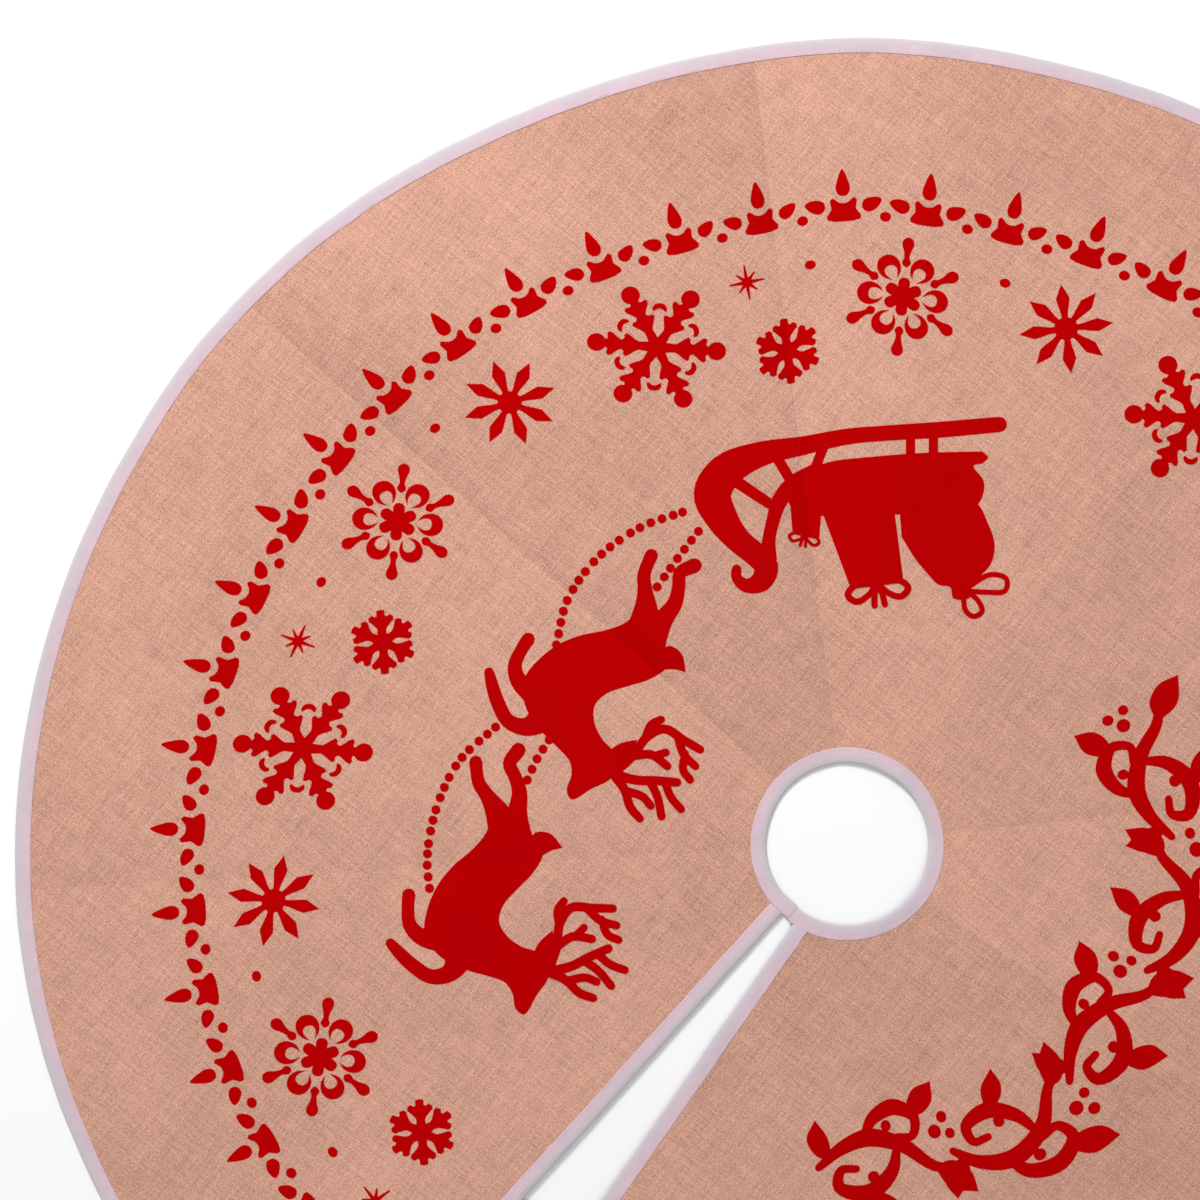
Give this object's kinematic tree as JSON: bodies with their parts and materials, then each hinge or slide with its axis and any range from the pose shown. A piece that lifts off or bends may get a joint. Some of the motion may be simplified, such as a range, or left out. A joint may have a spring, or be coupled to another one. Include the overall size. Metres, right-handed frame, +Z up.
{
  "type": "tree skirt",
  "caption": "Round cloth tree skirt with bound edges, a front slit, a trunk hole and a pair of ribbon ties; it folds along its pressed creases.",
  "frame": {"origin": "on the floor at the middle of the trunk hole, under the lying skirt", "axes": "+Z up out of the floor; the slit points along -Y and the half fold lies along +Y; +X to the right, seen from above with the slit towards the viewer"},
  "size_m": [1.22, 1.2178, 0.0033],
  "materials": {
    "burlap_cloth": "matte",
    "binding_tape": "matte",
    "tie_ribbon": "satin",
    "sewing_thread": "matte",
    "print_ink": "matte"
  },
  "bodies": {
    "back_left_quarter": {"panel_back_left": "burlap_cloth", "rim_binding_back_left": "binding_tape", "hole_binding_back_left": "binding_tape", "rim_seam_back_left": "sewing_thread", "hole_seam_back_left": "sewing_thread"},
    "front_left_quarter": {"panel_front_left": "burlap_cloth", "rim_binding_front_left": "binding_tape", "hole_binding_front_left": "binding_tape", "rim_seam_front_left": "sewing_thread", "hole_seam_front_left": "sewing_thread", "slit_binding_left": "binding_tape", "slit_seam_left": "sewing_thread", "tie_ribbon_left": "tie_ribbon", "tie_tack_left": "sewing_thread"},
    "back_right_quarter": {"panel_back_right": "burlap_cloth", "rim_binding_back_right": "binding_tape", "hole_binding_back_right": "binding_tape", "rim_seam_back_right": "sewing_thread", "hole_seam_back_right": "sewing_thread"},
    "front_right_quarter": {"panel_front_right": "burlap_cloth", "rim_binding_front_right": "binding_tape", "hole_binding_front_right": "binding_tape", "rim_seam_front_right": "sewing_thread", "hole_seam_front_right": "sewing_thread", "slit_binding_right": "binding_tape", "slit_seam_right": "sewing_thread", "tie_ribbon_right": "tie_ribbon", "tie_tack_right": "sewing_thread"}
  },
  "joints": [
    {"name": "fold_in_half", "type": "hinge", "parent": "back_left_quarter", "child": "back_right_quarter", "pos_m": [0, 0.335, 0.0135], "axis": [0, -1, 0], "range_deg": [0, 180]},
    {"name": "fold_left_quarter", "type": "hinge", "parent": "back_left_quarter", "child": "front_left_quarter", "pos_m": [-0.33483, 0.01075, 0.0055], "axis": [-0.9995, 0.0321, 0], "range_deg": [0, 180]},
    {"name": "fold_right_quarter", "type": "hinge", "parent": "back_right_quarter", "child": "front_right_quarter", "pos_m": [0.33483, 0.01075, 0.0074], "axis": [-0.9995, -0.0321, 0], "range_deg": [0, 180]}
  ]
}
